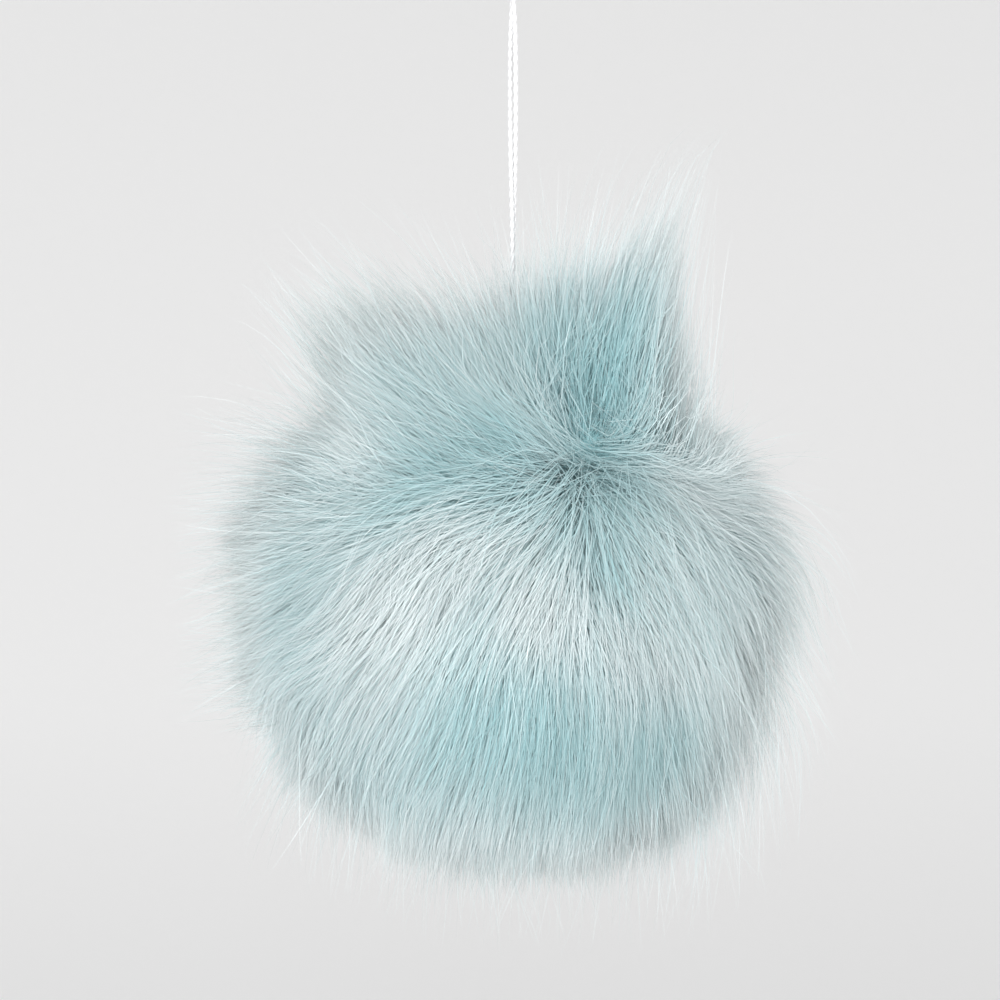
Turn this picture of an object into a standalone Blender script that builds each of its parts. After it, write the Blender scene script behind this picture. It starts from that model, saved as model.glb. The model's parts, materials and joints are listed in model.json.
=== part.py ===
"""Pom pom of long-pile faux fur, hanging from a doubled cord.

Metres, +Z up. The origin is the top of the hanging loop, where a hook would bear.
The photo's right is +X, and its camera looks along +Y. Sizes ending in _MM are in
millimetres from the ball's own centre, as the tables of the pile are.
"""

import math

import bmesh
import bpy
import numpy as np

# Driving dimensions
MM = 0.001
BALL_CENTRE = (-0.0017, 0.0, -0.1459)
PILE_RADIUS_MM = 60.0
CORE_RADIUS_MM = 49.5
CORD_DIAMETER = 0.0010
CORD_STEP = 0.0027
CURVE_POINTS = 40

# The locks of the pile
LOCK_COUNT = 292
LOCK_ROOT_MM = 3.6
LOCK_WIDTHS = (1.0, 0.97, 0.84, 0.58, 0.0)
LOCK_PLACES = (0.0, 0.26, 0.52, 0.77, 1.0)
LOCK_LONGEST_MM = 61.0
LOCK_SHORTEST = 0.975
LOCK_LONGEST = 1.045
ROOT_SCATTER_MM = 0.9
STEP_MM = 0.8
SEED = 7

# How far the dense pile reaches, by direction in the photo's plane:
# (degrees from +X towards +Z, millimetres from the ball's centre)
PILE_OUTLINE = (
    (0, 65.4),
    (9, 64.4),
    (26, 62.5),
    (37, 59.8),
    (45, 63.5),
    (51, 68.7),
    (57, 71.5),
    (63, 82.3),
    (66, 89.3),
    (70, 79.4),
    (73, 70.1),
    (78, 70.1),
    (85, 66.7),
    (90, 64.7),
    (100, 67.6),
    (110, 73.1),
    (117, 79.5),
    (122, 82.4),
    (126, 69.8),
    (131, 59.4),
    (146, 63.7),
    (165, 60.7),
    (180, 59.7),
    (210, 61.1),
    (240, 62.0),
    (270, 60.8),
    (298, 63.3),
    (312, 64.8),
    (333, 62.4),
    (342, 64.0),
    (349, 69.5),
    (354, 67.5),
)
OUTLINE_DEPTH = -0.10
OUTLINE_DEPTH_SPREAD = 0.38
CORE_FOLLOWS_PILE = 0.42

# The stuffed core's low lumps: (waves to the right, away and up, phase in radians,
# height in millimetres)
CORE_LUMPS = (
    (5.1, 0.0, 4.3, 2.0, 0.5),
    (0.0, 4.7, -3.9, 0.0, 0.7),
    (-3.3, 2.9, 2.1, 1.0, 0.5),
)

# How the pile is combed: (millimetres to the right of the centre, millimetres above it,
# -1 on the photo's side or 1 on the back, degrees the hair runs from +X towards +Z,
# degrees it leans away from the camera)
COMBING = (
    (18.5, 58.9, -1, 95, 4),
    (7.6, 56.7, -1, 100, 4),
    (26.2, 56.7, -1, 80, 2),
    (32.7, 46.9, -1, 85, 0),
    (-3.3, 51.2, -1, 145, 5),
    (-18.5, 55.6, -1, 160, 0),
    (-33.8, 49.6, -1, 145, 0),
    (1.1, 38.1, -1, 175, 0),
    (-16.4, 38.1, -1, 175, 0),
    (-31.6, 38.1, -1, 170, 0),
    (-46.9, 33.8, -1, 175, 0),
    (-55.6, 18.5, -1, 180, 0),
    (-36.0, 18.5, -1, 185, 0),
    (-16.4, 22.9, -1, 205, 0),
    (-1.1, 25.1, -1, 220, 0),
    (9.8, 22.9, -1, 240, 0),
    (20.7, 22.9, -1, 270, 0),
    (30.5, 22.9, -1, 290, 0),
    (40.3, 16.4, -1, 290, 0),
    (46.9, 25.1, -1, 340, 0),
    (55.6, 14.2, -1, 315, 0),
    (59.5, -1.1, -1, 290, 0),
    (49.0, 33.8, -1, 45, 0),
    (42.5, 40.3, -1, 70, 0),
    (-12.0, 1.1, -1, 225, 0),
    (-29.4, 1.1, -1, 210, 0),
    (-46.9, -3.3, -1, 200, 0),
    (-58.6, -7.6, -1, 190, 0),
    (3.3, 1.1, -1, 245, 0),
    (20.7, 1.1, -1, 270, 0),
    (34.9, -3.3, -1, 280, 0),
    (50.1, -9.8, -1, 280, 0),
    (-22.9, -25.1, -1, 235, 0),
    (-44.7, -29.4, -1, 220, 0),
    (-1.1, -25.1, -1, 255, 0),
    (20.7, -25.1, -1, 270, 0),
    (42.5, -29.4, -1, 280, 0),
    (-22.9, -49.0, -1, 250, 0),
    (0.0, -53.4, -1, 265, 0),
    (22.9, -53.4, -1, 275, 0),
    (40.3, -43.0, -1, 280, 0),
    (0.0, 52.0, 1, 90, 45),
    (30.0, 40.0, 1, 30, 50),
    (-30.0, 40.0, 1, 150, 50),
    (0.0, 25.0, 1, 270, 35),
    (40.0, 5.0, 1, 290, 15),
    (-40.0, 5.0, 1, 250, 15),
    (0.0, -20.0, 1, 270, 10),
    (30.0, -45.0, 1, 280, 5),
    (-30.0, -45.0, 1, 260, 5),
)
COMB_SPREAD = 0.21
LIFT = 0.62

# Tufts that draw together: (right, away from the camera and up of the tip in millimetres,
# degrees over which its hair is gathered, share of the way it is drawn in)
TUFTS = (
    (36.5, -10.0, 82.5, 19.0, 0.72),
    (-46.0, -10.0, 72.0, 15.0, 0.70),
)
TUFT_REACH = 1.25

# The parting round the cord
CORD_FOOT_MM = (1.7, 0.0)
PARTING_MM = 5.0
PARTING_PUSH = 1.4
BALD_SPOT_MM = 6.2

# The cord's route, in millimetres from the top of the loop: (right, away, up). It rises
# from the gathered top of the fur, opens into the loop's eye and comes down again
# beside itself, half a turn twisted.
CORD_ROUTE = (
    (0.06, -0.70, -93.35),
    (0.06, -0.70, -88.0),
    (-0.06, -0.70, -81.0),
    (-0.12, -0.69, -70.0),
    (-0.24, -0.66, -60.0),
    (-0.54, -0.45, -51.0),
    (-0.67, -0.20, -43.0),
    (-0.70, 0.00, -34.0),
    (-0.66, 0.24, -26.0),
    (-0.50, 0.49, -19.5),
    (-0.18, 0.85, -15.0),
    (0.00, 1.75, -11.5),
    (0.00, 3.30, -7.6),
    (0.00, 3.55, -4.0),
    (0.00, 2.40, -0.7),
    (0.00, 0.00, 0.5),
    (0.00, -2.40, -0.7),
    (0.00, -3.55, -4.0),
    (0.00, -3.30, -7.6),
    (0.00, -1.75, -11.5),
    (0.18, -0.85, -15.0),
    (0.50, -0.49, -19.5),
    (0.66, -0.24, -26.0),
    (0.70, 0.00, -34.0),
    (0.67, 0.20, -43.0),
    (0.54, 0.45, -51.0),
    (0.24, 0.66, -60.0),
    (0.12, 0.69, -70.0),
    (0.06, 0.70, -81.0),
    (-0.06, 0.70, -88.0),
    (-0.06, 0.70, -93.35),
)

# Colours
FUR_COLOUR = (0.38, 0.58, 0.60, 1.0)
CORD_COLOUR = (0.86, 0.86, 0.85, 1.0)


def clear_scene():
    for thing in list(bpy.data.objects):
        bpy.data.objects.remove(thing, do_unlink=True)


def material(name, colour, roughness):
    made = bpy.data.materials.new(name)
    made.use_nodes = True
    made.diffuse_color = colour
    shader = made.node_tree.nodes["Principled BSDF"]
    shader.inputs["Base Color"].default_value = colour
    shader.inputs["Roughness"].default_value = roughness
    shader.inputs["Metallic"].default_value = 0.0
    return made


def unit(vectors):
    return vectors / np.linalg.norm(vectors, axis=-1, keepdims=True)


def along(vectors, others):
    """The length of each vector's share along the other, as a column."""
    return (vectors * others).sum(axis=-1, keepdims=True)


def pile_reach(outward):
    """Millimetres from the centre to the tips of the dense pile, in each direction.

    It is the outline's reach near the photo's plane, and falls back to the ball's own
    radius towards the front and the back.
    """
    degrees, reach = np.array(PILE_OUTLINE).T
    turn = np.degrees(np.arctan2(outward[:, 2], outward[:, 0]))
    rim = np.interp(turn % 360, degrees, reach, period=360)
    depth = (outward[:, 1] - OUTLINE_DEPTH) / OUTLINE_DEPTH_SPREAD
    return PILE_RADIUS_MM + (rim - PILE_RADIUS_MM) * np.exp(-(depth**2))


def core_radius(outward):
    """The core follows the pile a little, with the low lumps of a stuffed ball."""
    swell = CORE_FOLLOWS_PILE * (pile_reach(outward) - PILE_RADIUS_MM)
    *waves, phase, height = np.array(CORE_LUMPS).T
    return CORE_RADIUS_MM + swell + np.sin(outward @ np.array(waves) + phase) @ height


def combing_guides():
    """Places on the unit sphere and the directions of the hair there, from COMBING."""
    right, up, side, turn, away = np.array(COMBING).T
    depth = np.sqrt(np.maximum(PILE_RADIUS_MM**2 - right**2 - up**2, 0.0))
    places = unit(np.stack([right, side * depth, up], axis=1))
    turn, away = np.radians(turn), np.radians(away)
    across = np.cos(turn) * np.cos(away)
    upward = np.sin(turn) * np.cos(away)
    return places, np.stack([across, np.sin(away), upward], axis=1)


def hair_directions(points, guides):
    """The way the hair runs at points given in millimetres from the ball's centre.

    Each point takes the mean of the combing guides, nearer ones counting for more. What
    would run into the ball is laid along it, lifted, drawn towards a near tuft's tip and
    pushed off the cord. The way depends on the place alone, so no two hairs cross.
    """
    places, lays = guides
    outward = unit(points)
    nearness = np.exp((outward @ places.T - 1.0) / COMB_SPREAD**2)
    lay = nearness @ lays / nearness.sum(axis=1, keepdims=True)
    rise = along(lay, outward)
    way = unit(lay - rise * outward + (np.maximum(rise, 0.0) + LIFT) * outward)
    for *tip, spread, pull in TUFTS:
        tip = np.array(tip)
        angle = np.degrees(np.arccos(np.clip(outward @ unit(tip), -1.0, 1.0)))
        share = pull * np.exp(-((angle / spread) ** 2))[:, None]
        way = unit((1.0 - share) * way + share * unit(TUFT_REACH * tip - points))
    beside = (points - np.array([*CORD_FOOT_MM, 0.0])) * (1.0, 1.0, 0.0)
    distance = np.linalg.norm(beside, axis=1, keepdims=True)
    near_cord = np.exp(-((distance / PARTING_MM) ** 2)) * (points[:, 2:] > 0.0)
    return unit(way + PARTING_PUSH * near_cord * beside / (distance + STEP_MM))


def lock_roots():
    """Directions of the locks' roots: a golden spiral, scattered, clear of the cord."""
    number = np.arange(LOCK_COUNT)
    up = 1.0 - (2.0 * number + 1.0) / LOCK_COUNT
    turn = number * math.pi * (3.0 - math.sqrt(5.0))
    level = np.sqrt(1.0 - up**2)
    roots = np.stack([level * np.cos(turn), level * np.sin(turn), up], axis=1)
    scatter = np.random.default_rng(SEED).uniform(-1.0, 1.0, roots.shape)
    roots = unit(roots + scatter * ROOT_SCATTER_MM / CORE_RADIUS_MM)
    beside = np.hypot(*(roots[:, :2] * CORE_RADIUS_MM - CORD_FOOT_MM).T)
    return roots[(beside > BALD_SPOT_MM) | (up < 0.0)]


def root_triangles(roots, guides):
    """Three directions round each root, the first one ahead along the combing."""
    ahead = hair_directions(roots * CORE_RADIUS_MM, guides)
    ahead = unit(ahead - along(ahead, roots) * roots)
    across = np.cross(roots, ahead)
    radius = LOCK_ROOT_MM / CORE_RADIUS_MM
    corners = []
    for degrees in (0.0, 120.0, 240.0):
        turn = math.radians(degrees)
        offset = math.cos(turn) * ahead + math.sin(turn) * across
        corners.append(unit(roots + radius * offset))
    return np.stack(corners, axis=1)


def combed_paths(starts, guides):
    """Points at equal steps along the hair from each start, in millimetres."""
    paths = [starts]
    for _ in range(round(LOCK_LONGEST_MM / STEP_MM)):
        here = paths[-1]
        middle = here + 0.5 * STEP_MM * hair_directions(here, guides)
        paths.append(here + STEP_MM * hair_directions(middle, guides))
    return np.stack(paths, axis=1)


def lock_ends(paths):
    """The step at which each lock ends: at the pile's reach, or at its full length."""
    shape = paths.shape[:2]
    outward = unit(paths).reshape(-1, 3)
    reach = pile_reach(outward).reshape(shape)
    uneven = np.random.default_rng(SEED + 1)
    reach = reach * uneven.uniform(LOCK_SHORTEST, LOCK_LONGEST, (shape[0], 1))
    beyond = np.linalg.norm(paths, axis=2) >= reach
    return np.where(beyond.any(axis=1), beyond.argmax(axis=1), shape[1] - 1)


def fur_mesh():
    """Vertices in millimetres and triangles of the core with its locks, as one skin."""
    guides = combing_guides()
    roots = lock_roots()
    corners = root_triangles(roots, guides)
    count = len(roots)
    directions = corners.reshape(-1, 3)
    base = directions * core_radius(directions)[:, None]
    centres = base.reshape(count, 3, 3).mean(axis=1)
    edge_paths = combed_paths(base, guides).reshape(count, 3, -1, 3)
    centre_paths = combed_paths(centres, guides)
    ends = lock_ends(centre_paths)
    lock = np.arange(count)
    levels = [base]
    for place, width in zip(LOCK_PLACES[1:-1], LOCK_WIDTHS[1:-1]):
        step = np.round(place * ends).astype(int)
        middle = centre_paths[lock, step][:, None, :]
        edge = edge_paths[lock, :, step]
        levels.append((middle + width * (edge - middle)).reshape(-1, 3))
    levels.append(centre_paths[lock, ends])
    faces = hull_between_roots(directions)
    ring = np.arange(3 * count).reshape(count, 3)
    following = np.roll(ring, -1, axis=1)
    for level in range(len(levels) - 2):
        low = 3 * count * level
        high = low + 3 * count
        faces.append(np.stack([ring + low, following + low, following + high], axis=2))
        faces.append(np.stack([ring + low, following + high, ring + high], axis=2))
    last = 3 * count * (len(levels) - 2)
    tips = np.repeat(lock[:, None], 3, axis=1) + last + 3 * count
    faces.append(np.stack([ring + last, following + last, tips], axis=2))
    faces = np.concatenate([group.reshape(-1, 3) for group in faces])
    return np.concatenate(levels), faces


def hull_between_roots(directions):
    """The skin's triangles between the locks: those of the hull of all root corners,
    without each lock's own root, where its sides rise."""
    shell = bmesh.new()
    corners = [shell.verts.new(place) for place in directions]
    shell.verts.index_update()
    bmesh.ops.convex_hull(shell, input=corners)
    bmesh.ops.triangulate(shell, faces=shell.faces[:])
    faces = np.array([[corner.index for corner in face.verts] for face in shell.faces])
    shell.free()
    places = directions[faces]
    normals = np.cross(places[:, 1] - places[:, 0], places[:, 2] - places[:, 0])
    inward = (normals * places.mean(axis=1)).sum(axis=1) < 0.0
    faces[inward] = faces[inward][:, ::-1]
    return [faces[np.ptp(faces // 3, axis=1) > 0]]


def build_fur_ball():
    points, faces = fur_mesh()
    places = points * MM + np.array(BALL_CENTRE)
    mesh = bpy.data.meshes.new("fur_ball")
    mesh.from_pydata(places.tolist(), [], faces.tolist())
    mesh.update()
    mesh.materials.append(material("fur", FUR_COLOUR, 0.55))
    ball = bpy.data.objects.new("fur_ball", mesh)
    bpy.context.scene.collection.objects.link(ball)
    return ball


def smooth_route(route, step):
    """Points about a step apart on the Catmull-Rom curve through the route's points."""
    ends = [2 * route[0] - route[1], 2 * route[-1] - route[-2]]
    held = np.concatenate([ends[:1], route, ends[1:]])
    share = np.linspace(0.0, 1.0, CURVE_POINTS, endpoint=False)[:, None]
    fine = []
    for before, start, end, after in zip(held, held[1:], held[2:], held[3:]):
        fine.append(
            0.5
            * (
                2.0 * start
                + (end - before) * share
                + (2.0 * before - 5.0 * start + 4.0 * end - after) * share**2
                + (3.0 * start - before - 3.0 * end + after) * share**3
            )
        )
    fine = np.concatenate(fine + [route[-1:]])
    run = np.concatenate([[0.0], np.cumsum(np.linalg.norm(np.diff(fine, axis=0), axis=1))])
    places = np.linspace(0.0, run[-1], int(round(run[-1] / step)) + 1)
    return np.stack([np.interp(places, run, axis) for axis in fine.T], axis=1)


def build_hanging_cord():
    route = smooth_route(np.array(CORD_ROUTE) * MM, CORD_STEP)
    curve = bpy.data.curves.new("hanging_cord", "CURVE")
    curve.dimensions = "3D"
    curve.bevel_depth = CORD_DIAMETER / 2.0
    curve.bevel_resolution = 2
    curve.use_fill_caps = True
    spline = curve.splines.new("POLY")
    spline.points.add(len(route) - 1)
    for point, place in zip(spline.points, route):
        point.co = (*place, 1.0)
    curve.materials.append(material("cord", CORD_COLOUR, 0.6))
    cord = bpy.data.objects.new("hanging_cord", curve)
    bpy.context.scene.collection.objects.link(cord)
    return cord


clear_scene()
build_fur_ball()
build_hanging_cord()
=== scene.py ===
"""The looks of a long-pile faux fur pom pom that hangs from a doubled cord.

Metres, +Z up, with the origin at the top of the hanging loop. The hair is worked out in
millimetres from the ball's own centre and moved into place at the end.
"""

import json
import math

import bpy
import numpy as np
from bpy.props import (
    FloatProperty,
    FloatVectorProperty,
    IntProperty,
    PointerProperty,
)
from bpy.types import Operator, Panel, PropertyGroup
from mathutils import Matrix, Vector

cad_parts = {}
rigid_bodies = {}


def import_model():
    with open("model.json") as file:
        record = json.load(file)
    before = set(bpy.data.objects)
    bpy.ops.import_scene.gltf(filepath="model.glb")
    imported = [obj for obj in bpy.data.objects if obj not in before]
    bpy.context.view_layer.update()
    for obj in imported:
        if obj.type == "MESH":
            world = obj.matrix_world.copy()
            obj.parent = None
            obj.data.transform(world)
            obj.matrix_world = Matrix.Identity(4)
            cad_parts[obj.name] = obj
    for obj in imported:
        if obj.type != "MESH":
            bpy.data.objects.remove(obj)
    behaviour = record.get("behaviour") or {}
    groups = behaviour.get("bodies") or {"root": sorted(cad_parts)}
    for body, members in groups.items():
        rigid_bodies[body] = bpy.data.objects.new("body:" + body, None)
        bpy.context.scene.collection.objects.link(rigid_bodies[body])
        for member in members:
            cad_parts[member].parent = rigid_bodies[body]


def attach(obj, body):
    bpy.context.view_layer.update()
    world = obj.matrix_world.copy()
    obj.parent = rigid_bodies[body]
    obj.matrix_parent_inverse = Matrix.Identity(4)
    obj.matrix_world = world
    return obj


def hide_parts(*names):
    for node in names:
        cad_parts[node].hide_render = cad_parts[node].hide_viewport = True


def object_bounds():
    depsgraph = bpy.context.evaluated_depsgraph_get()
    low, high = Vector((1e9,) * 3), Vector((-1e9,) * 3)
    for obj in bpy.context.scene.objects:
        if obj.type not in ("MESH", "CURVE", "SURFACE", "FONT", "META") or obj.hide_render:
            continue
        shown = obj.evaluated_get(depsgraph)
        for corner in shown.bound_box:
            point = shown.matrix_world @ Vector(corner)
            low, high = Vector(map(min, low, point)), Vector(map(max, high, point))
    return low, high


bl_info = {
    "name": "Faux Fur Pom Pom",
    "version": (1, 0, 0),
    "blender": (4, 5, 0),
    "location": "3D View > Sidebar > Pom Pom",
    "description": "Grows a combed faux fur ball with its hanging cord and lights it",
    "category": "Add Mesh",
}

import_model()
cad_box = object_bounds()

MM = 0.001
BALL_CENTRE = np.array((-0.0017, 0.0, -0.1459))
PILE_RADIUS_MM = 60.0

# How far the dense pile reaches, by direction in the photo's plane:
# (degrees from +X towards +Z, millimetres from the ball's centre)
PILE_OUTLINE = (
    (0, 65.4),
    (9, 66.5),
    (26, 66.5),
    (37, 65.5),
    (45, 62.0),
    (51, 69.5),
    (57, 72.5),
    (60, 75.0),
    (63, 80.5),
    (66, 88.5),
    (70, 86.0),
    (73, 78.0),
    (78, 78.0),
    (85, 75.0),
    (90, 72.5),
    (100, 71.0),
    (110, 73.1),
    (117, 73.5),
    (122, 71.5),
    (125, 66.5),
    (128, 62.0),
    (132, 56.5),
    (138, 56.5),
    (146, 62.0),
    (165, 63.0),
    (178, 58.0),
    (188, 57.0),
    (200, 61.5),
    (212, 64.0),
    (224, 61.5),
    (232, 60.5),
    (240, 57.0),
    (270, 56.8),
    (298, 62.0),
    (312, 66.0),
    (333, 62.5),
    (342, 59.5),
    (349, 64.5),
    (354, 66.0),
)

# The outline holds near this depth, as a share of the way to the back, and fades off it
OUTLINE_DEPTH = -0.10
OUTLINE_DEPTH_SPREAD = 0.38
# Share of the pile's swelling that the backing takes up
BACKING_FOLLOWS_PILE = 0.30

# How the pile is combed: (millimetres to the right of the centre, millimetres above it,
# -1 on the photo's side or 1 on the back, degrees the hair runs from +X towards +Z,
# degrees it leans away from the camera)
COMBING = (
    (18.5, 58.9, -1, 85, 4),
    (7.6, 56.7, -1, 100, 4),
    (26.2, 56.7, -1, 72, 2),
    (32.7, 46.9, -1, 75, 0),
    (-3.3, 51.2, -1, 114, 5),
    (-18.5, 55.6, -1, 120, 0),
    (-33.8, 49.6, -1, 132, 0),
    (1.1, 38.1, -1, 150, 0),
    (10.0, 50.0, -1, 130, 0),
    (10.0, 42.0, -1, 190, 0),
    (18.0, 55.0, -1, 105, 0),
    (17.0, 39.0, -1, 240, 0),
    (28.0, 51.0, -1, 88, 0),
    (27.0, 38.0, -1, 278, 0),
    (38.0, 44.0, -1, 72, 0),
    (37.0, 31.0, -1, 290, 0),
    (55.0, 24.0, -1, 350, 0),
    (-16.4, 38.1, -1, 143, 0),
    (-31.6, 38.1, -1, 138, 0),
    (-46.9, 33.8, -1, 165, 0),
    (-55.6, 18.5, -1, 180, 0),
    (-36.0, 18.5, -1, 185, 0),
    (-16.4, 22.9, -1, 215, 0),
    (-1.1, 25.1, -1, 220, 0),
    (9.8, 22.9, -1, 240, 0),
    (20.7, 22.9, -1, 270, 0),
    (30.5, 22.9, -1, 290, 0),
    (40.3, 16.4, -1, 290, 0),
    (47.5, 25.1, -1, 0, 0),
    (55.6, 14.2, -1, 315, 0),
    (59.5, -1.1, -1, 290, 0),
    (50.0, 33.8, -1, 35, 0),
    (42.5, 40.3, -1, 80, 0),
    (-12.0, 1.1, -1, 240, 0),
    (-29.4, 1.1, -1, 227, 0),
    (-46.9, -3.3, -1, 208, 0),
    (-58.6, -7.6, -1, 190, 0),
    (3.3, 1.1, -1, 245, 0),
    (20.7, 1.1, -1, 270, 0),
    (34.9, -3.3, -1, 280, 0),
    (50.1, -9.8, -1, 280, 0),
    (-22.9, -25.1, -1, 256, 0),
    (-44.7, -29.4, -1, 240, 0),
    (-1.1, -25.1, -1, 263, 0),
    (20.7, -25.1, -1, 270, 0),
    (42.5, -29.4, -1, 280, 0),
    (-22.9, -49.0, -1, 258, 0),
    (0.0, -53.4, -1, 265, 0),
    (22.9, -53.4, -1, 275, 0),
    (40.3, -43.0, -1, 280, 0),
    (0.0, 52.0, 1, 90, 45),
    (30.0, 40.0, 1, 30, 50),
    (-30.0, 40.0, 1, 150, 50),
    (0.0, 25.0, 1, 270, 35),
    (40.0, 5.0, 1, 290, 15),
    (-40.0, 5.0, 1, 250, 15),
    (0.0, -20.0, 1, 270, 10),
    (30.0, -45.0, 1, 280, 5),
    (-30.0, -45.0, 1, 260, 5),
)
# How far a guide's combing carries, as a share of the ball's radius
COMB_SPREAD = 0.12
# How much of a guide's outward part the hair keeps, how firmly it lies at the least, and
# how much of that it gives up where the guides stand it on end
RISE_SHARE = 0.45
LEAST_LAY = 0.75
STANDING_SHARE = 0.7
# How far a lock, a strand and a hair stray from the combing
STRAYS = (0.06, 0.05, 0.06)

# Tufts that draw together: (right, away from the camera and up of the tip in millimetres,
# degrees over which its hair is gathered, share of the way it is drawn in)
TUFTS = (
    (39.0, -10.0, 82.5, 17.0, 0.62),
    (-60.0, -10.0, 80.0, 15.0, 0.60),
    (68.0, -10.0, -17.0, 12.0, 0.35),
)
# The hair aims at a place past the tip, so that the tuft stays open
TUFT_REACH = 1.25

# The parting round the cord: where the cord goes in, how far the parting reaches and how
# hard it pushes the hair aside
CORD_FOOT_MM = (1.7, 0.0)
PARTING_MM = 2.6
PARTING_PUSH = 1.2

# Where the hair lies criss-cross: (millimetres to the right and above the ball's centre,
# millimetres it spreads, degrees the hairs turn)
MATTED = (
    (-36.0, 27.0, 14.0, 30.0),
    (22.0, 44.0, 11.0, 50.0),
    (-2.0, 33.0, 11.0, 20.0),
    (-41.0, 56.0, 14.0, 12.0),
    (33.0, 72.0, 12.0, 8.0),
)

# Where the hair leaves the backing more steeply: (millimetres to the right and above the
# ball's centre, millimetres it spreads, share that it rises more)
STEEPER = (
    (18.0, 38.0, 17.0, 0.9),
    (8.0, 26.0, 14.0, 0.6),
    (24.0, 20.0, 12.0, 0.5),
)

# Where hair grows closer: (right, away and up of the ball's centre in millimetres, how
# far it spreads as a share of the distance, share of the layer's locks)
NOWHERE = ()
WHORL_THICK = ((16.0, -45.0, 34.0, 0.22, 0.03),)
WISPY = (
    (-40.0, -10.0, 46.0, 0.22, 0.16),
    (28.0, -8.0, 56.0, 0.18, 0.07),
    (6.0, -8.0, 60.0, 0.22, 0.05),
    (58.0, -8.0, 8.0, 0.22, 0.06),
    (-58.0, -8.0, 0.0, 0.25, 0.06),
)

# Where the hair grows longer: (millimetres to the right and above the ball's centre,
# millimetres it spreads, share that it is longer)
LONGER = (
    (-28.0, 44.0, 26.0, 0.45),
    (24.0, 52.0, 24.0, 0.35),
    (50.0, 10.0, 18.0, 0.20),
)

# Where the hair ends unevenly: (millimetres to the right and above the ball's centre,
# millimetres it spreads, share of the pile's reach)
RAGGED = (
    (-52.0, 66.0, 17.0, 0.16),
    (33.0, 82.0, 14.0, 0.07),
    (8.0, 68.0, 14.0, 0.06),
    (64.0, -12.0, 14.0, 0.05),
    (-10.0, -60.0, 30.0, 0.04),
)

# Where the hair is painted paler or deeper. The pale spots are mostly painted sheen and
# highlights. The deep spots are partly the hair's own deeper teal and partly painted shade,
# below the sheen and where the hair stands up: (millimetres to the right and above the
# ball's centre, millimetres it spreads, change of tone)
TONE_SHEEN_AND_SHADE_SPOTS = (
    # Painted highlight down the right side of the right tuft
    (40.5, 47.0, 10.0, 2.4),
    (39.5, 30.0, 7.0, 0.8),
    (-35.0, 28.0, 16.0, 0.2),
    (-33.0, 55.0, 15.0, 0.9),
    (20.0, 56.0, 18.0, -0.6),
    (0.0, 38.0, 10.0, -0.4),
    (18.0, 40.0, 12.0, 0.1),
    (20.0, 27.0, 10.0, -0.2),
    (20.0, 8.0, 6.0, -0.6),
    (12.0, -27.0, 10.0, -0.25),
    (35.0, -28.0, 9.0, -0.2),
    (-12.0, -22.0, 10.0, -0.1),
    (-52.0, 0.0, 14.0, -0.3),
    (2.0, -46.0, 22.0, -0.2),
    # Painted sheen across the front of the ball, and last painted light on its right side
    (10.0, 0.0, 9.0, 1.9),
    (-14.0, 14.0, 9.0, 1.0),
    (-24.0, 3.0, 11.0, 1.0),
    (-2.0, 14.0, 6.0, 0.4),
    (27.0, -10.0, 7.0, 0.6),
    (37.0, -14.0, 6.0, 0.5),
    (47.0, 25.0, 10.0, 1.4),
)

# The slow waves that make the combing uneven, and how much a wave of height 1 turns the
# hair, lifts it and changes its tone
WAVE_COUNT = 8
WAVE_LENGTHS_MM = (28.0, 80.0)
WAVE_DEGREES = 3.5
WAVE_LIFT = 0.035
WAVE_TONE = 0.08

# Painted backlight: the hair is painted greyer towards the outline, for the look that the
# bright room behind and the light through its thin hair give it. It greys from this share
# of the outline's reach outwards, by so much of its strand
RIM_START = 0.62
RIM_STEEPNESS = 1.5
BACKLIT_GREYING = (0.6, 1.2)

# The layers of hair. Lengths and widths are in millimetres, heights and cuts are shares
# of the pile's reach, and turns are in degrees for a lock, a strand and a hair.
LAYERS = {
    "underhair": {
        "thicker": NOWHERE,
        "locks": 800,
        "strands": 5,
        "hairs": 5,
        "points": 4,
        "length": (14.0, 22.0),
        "width": (0.25, 0.38),
        "height": (0.86, 0.97),
        "cut": (0.88, 1.0),
        "turns": (8.0, 8.0, 10.0),
        "tone": (0.25, 0.55),
        "end_lift": (0.1, 0.5),
        "roll": 30.0,
    },
    "pile": {
        "thicker": WHORL_THICK,
        "locks": 1000,
        "strands": 18,
        "hairs": 4,
        "points": 5,
        "length": (36.0, 66.0),
        "width": (0.12, 0.19),
        "height": (0.90, 1.0),
        "cut": (0.88, 1.06),
        "turns": (5.0, 2.0, 3.0),
        "tone": (0.28, 0.62),
        "end_lift": (0.05, 0.30),
        "roll": 14.0,
    },
    "guard_hairs": {
        "thicker": WHORL_THICK,
        "locks": 600,
        "strands": 14,
        "hairs": 3,
        "points": 6,
        "length": (48.0, 78.0),
        "width": (0.09, 0.15),
        "height": (0.93, 1.03),
        "cut": (0.96, 1.15),
        "turns": (5.0, 4.0, 4.0),
        "tone": (0.25, 0.90),
        "end_lift": (0.0, 0.20),
        "roll": 22.0,
    },
    "flyaways": {
        "thicker": WISPY,
        "locks": 1200,
        "strands": 2,
        "hairs": 2,
        "points": 8,
        "length": (44.0, 80.0),
        "width": (0.065, 0.11),
        "height": (0.98, 1.10),
        "cut": (1.03, 1.38),
        "turns": (9.0, 16.0, 20.0),
        "tone": (0.0, 0.8),
        "end_lift": (0.1, 0.9),
        "roll": 90.0,
    },
}
POINT_SPACING = 0.85
STEP_MM = 2.0

# How far locks, strands and hairs scatter, as shares of the gap between their like
LOCK_SCATTER = 0.2
STRAND_SCATTER = 0.42
HAIR_SCATTER = 0.90

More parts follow.
